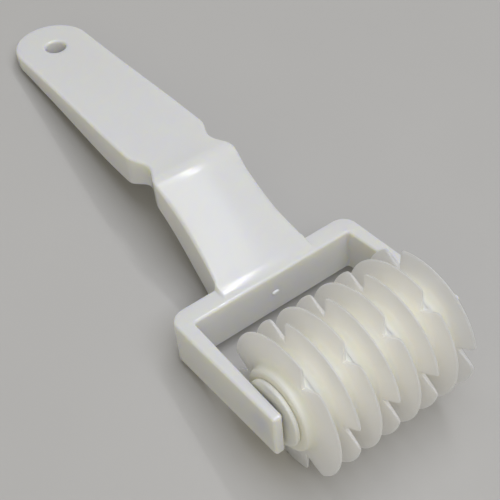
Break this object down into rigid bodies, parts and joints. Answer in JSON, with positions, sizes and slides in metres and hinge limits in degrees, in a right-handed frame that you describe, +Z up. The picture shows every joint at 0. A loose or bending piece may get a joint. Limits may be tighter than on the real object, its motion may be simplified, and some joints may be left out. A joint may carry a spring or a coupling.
{
  "type": "lattice roller cutter",
  "caption": "Hand-held pastry lattice cutter: a roller of notched cutting wheels turns between the arms of a forked handle with a flat, round-ended grip and a hang hole.",
  "frame": {"origin": "on the table, under the middle of the tool's box, as it rests on its blades and its grip's end", "axes": "+Z up from the table, +Y from the roller towards the grip's end, X along the roller's axle, +X to the right when the grip is held towards the user"},
  "size_m": [0.065, 0.188, 0.0424],
  "materials": {
    "handle_plastic": "smooth moulded ivory-white plastic, slightly glossy, a little translucent",
    "wheel_plastic": "smooth moulded warm-white plastic, slightly translucent in the thin blades",
    "axle_plastic": "plain moulded white plastic, slightly matt"
  },
  "bodies": {
    "handle": {"handle_frame": "handle_plastic"},
    "roller": {"cutter_wheel_1": "wheel_plastic", "cutter_wheel_2": "wheel_plastic", "cutter_wheel_3": "wheel_plastic", "cutter_wheel_4": "wheel_plastic", "cutter_wheel_5": "wheel_plastic", "cutter_wheel_6": "wheel_plastic", "cutter_wheel_7": "wheel_plastic", "cutter_wheel_8": "wheel_plastic", "end_collar_left": "wheel_plastic", "end_collar_right": "wheel_plastic", "roller_axle": "axle_plastic"}
  },
  "joints": [
    {"name": "roller_spin", "type": "hinge", "parent": "handle", "child": "roller", "pos_m": [0, -0.07283, 0.0212], "axis": [1, 0, 0], "continuous": true}
  ]
}
